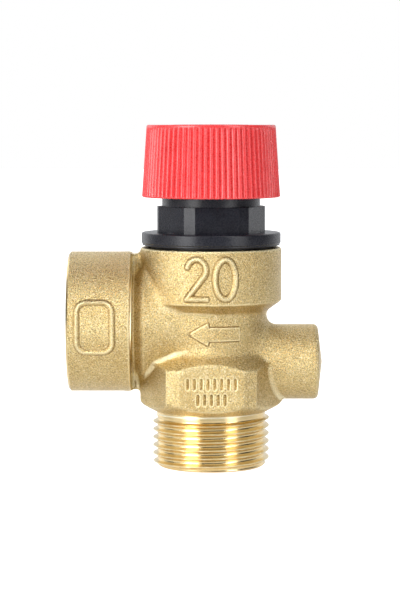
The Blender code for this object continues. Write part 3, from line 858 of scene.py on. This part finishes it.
def knob_cap(material):
    """Disc in the top of the knob, dished inside a low rim."""
    radius, top, low = CAP_HIGH.x, CAP_HIGH.z, CAP_LOW.z
    made = lathe("cap_disc", [
        (0.02, top), (4.0, top - 0.01), (8.3, top - 0.05), (8.6, top - 0.2), (8.9, top - 0.2),
        (9.2, top - 0.08), (radius - 0.6, top - 0.2), (radius - 0.15, top - 0.4),
        (radius, top - 0.8), (radius, low), (radius - 1.2, low), (radius - 1.2, top - 1.6),
        (0.02, top - 1.6)], 128)
    paint(made, 0, [material])
    return done(made, "knob", ["knob_cap"])


# ------------------------------------------------------------------ materials

class Nodes:
    """A small helper for building a Principled material."""

    def __init__(self, name):
        self.material = bpy.data.materials.new(name)
        self.material.use_nodes = True
        self.tree = self.material.node_tree
        self.shader = self.tree.nodes["Principled BSDF"]
        self.place = self.tree.nodes.new("ShaderNodeTexCoord").outputs["Object"]

    def set(self, **values):
        for key, value in values.items():
            self.shader.inputs[key.replace("_", " ")].default_value = value

    def link(self, output, socket):
        self.tree.links.new(output, self.shader.inputs[socket])

    def noise(self, scale, detail=2.0, roughness=0.5, stretch=None):
        source = self.place
        if stretch:
            mapping = self.tree.nodes.new("ShaderNodeMapping")
            mapping.inputs["Scale"].default_value = stretch
            self.tree.links.new(self.place, mapping.inputs["Vector"])
            source = mapping.outputs["Vector"]
        made = self.tree.nodes.new("ShaderNodeTexNoise")
        made.inputs["Scale"].default_value = scale
        made.inputs["Detail"].default_value = detail
        made.inputs["Roughness"].default_value = roughness
        self.tree.links.new(source, made.inputs["Vector"])
        return made.outputs["Fac"]

    def attribute(self, name):
        made = self.tree.nodes.new("ShaderNodeAttribute")
        made.attribute_name = name
        return made.outputs["Fac"]

    def remap(self, value, low, high, to_low=0.0, to_high=1.0):
        made = self.tree.nodes.new("ShaderNodeMapRange")
        made.inputs["From Min"].default_value = low
        made.inputs["From Max"].default_value = high
        made.inputs["To Min"].default_value = to_low
        made.inputs["To Max"].default_value = to_high
        self.tree.links.new(value, made.inputs["Value"])
        return made.outputs["Result"]

    def mix(self, factor, first, second):
        made = self.tree.nodes.new("ShaderNodeMix")
        made.data_type = "RGBA"
        self.tree.links.new(factor, made.inputs[0])
        for socket, colour in ((made.inputs[6], first), (made.inputs[7], second)):
            if isinstance(colour, tuple):
                socket.default_value = (*colour, 1.0)
            else:
                self.tree.links.new(colour, socket)
        return made.outputs[2]

    def add(self, first, second, share=1.0):
        made = self.tree.nodes.new("ShaderNodeMath")
        made.operation = "MULTIPLY_ADD"
        self.tree.links.new(second, made.inputs[0])
        made.inputs[1].default_value = share
        self.tree.links.new(first, made.inputs[2])
        return made.outputs[0]

    def bump(self, height, distance, strength=1.0):
        made = self.tree.nodes.new("ShaderNodeBump")
        made.inputs["Distance"].default_value = distance
        made.inputs["Strength"].default_value = strength
        self.tree.links.new(height, made.inputs["Height"])
        self.link(made.outputs["Normal"], "Normal")


def cast_brass():
    """Sand-blasted casting: fine grain, soft mottling, satin sheen."""
    made = Nodes("cast_brass")
    grain = made.noise(5600.0, 2.0, 0.6)
    pits = made.noise(3900.0, 2.0, 0.5)
    cloud = made.noise(160.0, 3.0, 0.55)
    bend = made.attribute("bend")
    fillet = made.attribute("fillet")
    tone = made.mix(made.remap(cloud, 0.35, 0.68), (0.77, 0.57, 0.255), (0.88, 0.70, 0.35))
    tone = made.mix(made.remap(grain, 0.38, 0.58), (0.34, 0.235, 0.09), tone)
    tone = made.mix(made.remap(pits, 0.58, 0.7), tone, (0.96, 0.86, 0.58))
    # painted highlight: the deep fillets of the plain casting are painted pale yellow
    tone = made.mix(made.remap(fillet, -0.95, -0.4), (0.97, 0.87, 0.58), tone)
    # painted shade: sharp hollows, such as round the feet of the marks, are painted dark brown
    tone = made.mix(made.remap(bend, -3.2, -1.3), (0.30, 0.19, 0.07), tone)
    # painted highlight: sharp convex edges are painted pale
    tone = made.mix(made.remap(bend, 0.7, 2.2), tone, (0.9, 0.77, 0.46))
    made.link(tone, "Base Color")
    made.set(Metallic=1.0)
    made.link(made.remap(pits, 0.3, 0.7, 0.23, 0.37), "Roughness")
    made.bump(made.add(grain, pits, 0.9), 0.00013, 1.0)
    return made.material


def machined_brass(name="machined_brass"):
    """Bright turned brass with fine tool marks round the axis, rougher thread crests and a
    painted highlight along them.
    """
    made = Nodes(name)
    crest = made.remap(made.attribute("bend"), 0.6, 0.95)      # thread_wave near its top
    marks = made.noise(900.0, 2.0, 0.5, (1.0, 1.0, 6.0))
    cloud = made.noise(220.0, 2.0)
    tone = made.mix(made.remap(cloud, 0.3, 0.7), (0.80, 0.60, 0.29), (0.88, 0.71, 0.40))
    # painted highlight: the thread crests are painted pale
    made.link(made.mix(crest, tone, (0.98, 0.93, 0.72)), "Base Color")
    made.set(Metallic=1.0)
    made.link(made.add(made.remap(marks, 0.3, 0.7, 0.14, 0.26), crest, 0.3), "Roughness")
    made.bump(marks, 0.00001, 0.5)
    return made.material


def black_nylon():
    made = Nodes("black_nylon")
    grain = made.noise(2600.0, 3.0, 0.6)
    cloud = made.noise(260.0, 2.0)
    made.link(made.mix(made.remap(cloud, 0.3, 0.7), (0.011, 0.011, 0.016), (0.018, 0.019, 0.026)),
              "Base Color")
    made.link(made.remap(grain, 0.3, 0.7, 0.2, 0.36), "Roughness")
    made.set(Specular_IOR_Level=0.36)
    made.bump(grain, 0.00006, 0.7)
    return made.material


def black_rubber():
    made = Nodes("black_rubber")
    grain = made.noise(1800.0, 2.0)
    made.link(made.mix(made.remap(grain, 0.3, 0.7), (0.012, 0.012, 0.012), (0.03, 0.03, 0.03)),
              "Base Color")
    made.link(made.remap(grain, 0.3, 0.7, 0.55, 0.75), "Roughness")
    made.bump(grain, 0.00002, 0.4)
    return made.material


def red_plastic():
    made = Nodes("red_plastic")
    grain = made.noise(2400.0, 2.0)
    cloud = made.noise(190.0, 2.0)
    made.link(made.mix(made.remap(cloud, 0.3, 0.7), (0.74, 0.042, 0.045), (0.84, 0.058, 0.062)),
              "Base Color")
    made.link(made.remap(grain, 0.3, 0.7, 0.22, 0.36), "Roughness")
    made.set(Subsurface_Weight=0.15, Subsurface_Scale=0.002, Specular_IOR_Level=0.75)
    made.bump(grain, 0.00003, 0.5)
    return made.material


def steel():
    made = Nodes("steel")
    marks = made.noise(1100.0, 2.0, 0.5, (1.0, 1.0, 4.0))
    made.link(made.mix(made.remap(marks, 0.3, 0.7), (0.42, 0.42, 0.43), (0.6, 0.6, 0.61)),
              "Base Color")
    made.set(Metallic=1.0)
    made.link(made.remap(marks, 0.3, 0.7, 0.22, 0.36), "Roughness")
    made.bump(marks, 0.00001, 0.4)
    return made.material


# ------------------------------------------------------------------ stage

# Name, azimuth from the front (positive towards +X), distance, height, size and power.
LIGHTS = (
    ("left_box", -42, 0.75, 0.2, (0.36, 0.8), 5.3),
    ("left_fill", -68, 0.75, 0.2, (0.6, 0.7), 0.9),
    ("left_high", -62, 0.6, 0.42, (0.22, 0.25), 0.6),
    ("right_box", 45, 0.75, 0.2, (0.3, 0.8), 2.35),
    ("left_top", -40, 0.5, 0.65, (0.1, 0.6), 0.5),
    ("right_top", 41, 0.5, 0.65, (0.12, 0.6), 1.3),
    ("top_front", 0, 0.5, 0.65, (0.3, 0.3), 0.35),
    ("right_back", 128, 0.75, 0.2, (0.4, 0.7), 0.2),
    ("left_back", -135, 0.75, 0.2, (0.4, 0.7), 0.5),
    ("back_fill", 180, 0.6, 0.65, (0.4, 0.3), 0.6),
)
LIT_POINT = Vector((-0.002, 0.0, 0.04))


def area_light(name, azimuth, distance, height, size, power):
    lamp = bpy.data.lights.new(name, "AREA")
    lamp.shape = "RECTANGLE"
    lamp.size, lamp.size_y = size
    lamp.energy = power
    made = bpy.data.objects.new(name, lamp)
    bpy.context.scene.collection.objects.link(made)
    angle = math.radians(azimuth)
    place = Vector((distance * math.sin(angle), -distance * math.cos(angle), height))
    made.location = place
    made.rotation_euler = (LIT_POINT - place).to_track_quat("-Z", "Y").to_euler()


def pale_floor():
    """White to look at, and grey in the reflections on the brass."""
    made = Nodes("pale_floor")
    cloud = made.noise(4.0, 2.0)
    made.link(made.mix(cloud, (0.76, 0.76, 0.76), (0.8, 0.8, 0.8)), "Base Color")
    path = made.tree.nodes.new("ShaderNodeLightPath")
    made.link(made.remap(path.outputs["Is Camera Ray"], 0.0, 1.0, 0.24, 1.0), "Emission Strength")
    made.set(Roughness=0.2, Specular_IOR_Level=1.0, Emission_Color=(1.0, 1.0, 1.0, 1.0))
    return made.material


def stage():
    """The floor, a tenth of a millimetre below the valve, and the lights round it."""
    half = 3.0
    corners = [(-half, -half, 0.0), (half, -half, 0.0), (half, half, 0.0), (-half, half, 0.0)]
    floor = object_from("floor", corners, [(0, 1, 2, 3)])
    floor.location.z = BODY_LOW.z * MM - 0.0001
    floor.data.materials.append(pale_floor())
    for light in LIGHTS:
        area_light(*light)


def studio_world():
    """White to look at; as lighting, dim in front and bright behind, like a backdrop."""
    world = bpy.data.worlds.new("studio")
    bpy.context.scene.world = world
    world.use_nodes = True
    nodes, links = world.node_tree.nodes, world.node_tree.links
    shown = nodes["Background"]
    shown.inputs["Color"].default_value = (1.0, 1.0, 1.0, 1.0)
    lighting = nodes.new("ShaderNodeBackground")
    lighting.inputs["Color"].default_value = (0.95, 0.97, 1.0, 1.0)
    place = nodes.new("ShaderNodeTexCoord")
    split = nodes.new("ShaderNodeSeparateXYZ")
    backdrop = nodes.new("ShaderNodeMapRange")
    for socket, value in (("From Min", 0.0), ("From Max", 0.75), ("To Min", 0.03),
                          ("To Max", 0.85)):
        backdrop.inputs[socket].default_value = value
    links.new(place.outputs["Generated"], split.inputs[0])
    links.new(split.outputs["Y"], backdrop.inputs["Value"])
    links.new(backdrop.outputs["Result"], lighting.inputs["Strength"])
    path = nodes.new("ShaderNodeLightPath")
    mix = nodes.new("ShaderNodeMixShader")
    links.new(path.outputs["Is Camera Ray"], mix.inputs[0])
    links.new(lighting.outputs[0], mix.inputs[1])
    links.new(shown.outputs[0], mix.inputs[2])
    links.new(mix.outputs[0], nodes["World Output"].inputs["Surface"])


def camera():
    """Level with the top of the knob, tilted down to the valve's middle."""
    tilt = math.radians(5.05)
    lens = bpy.data.cameras.new("camera")
    lens.sensor_width = 36.0
    lens.lens = 118.98
    lens.clip_start = 0.01
    made = bpy.data.objects.new("camera", lens)
    bpy.context.scene.collection.objects.link(made)
    made.location = (-0.0025, -0.4473, 0.077)
    made.rotation_euler = (math.pi / 2 - tilt, 0.0, 0.0)
    bpy.context.scene.camera = made


# ------------------------------------------------------------------ the whole

def finish_nodes(looks):
    """Give every CAD node the finish of its own material slot."""
    slots = {part["node"]: part["material_slot"] for part in frame["record"]["subparts"]}
    for name, node in frame["nodes"].items():
        node.data.materials.clear()
        node.data.materials.append(looks[slots[name]])


def main():
    looks = {
        "cast_brass": cast_brass(),
        "turned_brass": machined_brass("turned_brass"),
        "steel": steel(),
        "black_nylon": black_nylon(),
        "black_rubber": black_rubber(),
        "red_plastic": red_plastic(),
    }
    camera()
    stage()
    studio_world()
    finish_nodes(looks)
    valve_body([looks["cast_brass"], machined_brass()])
    bonnet(looks["black_nylon"])
    o_ring(looks["black_rubber"])
    spring(looks["steel"])
    diaphragm(looks["black_rubber"])
    knob(looks["red_plastic"])
    knob_cap(looks["red_plastic"])
    bpy.context.scene.view_settings.view_transform = "Standard"


main()
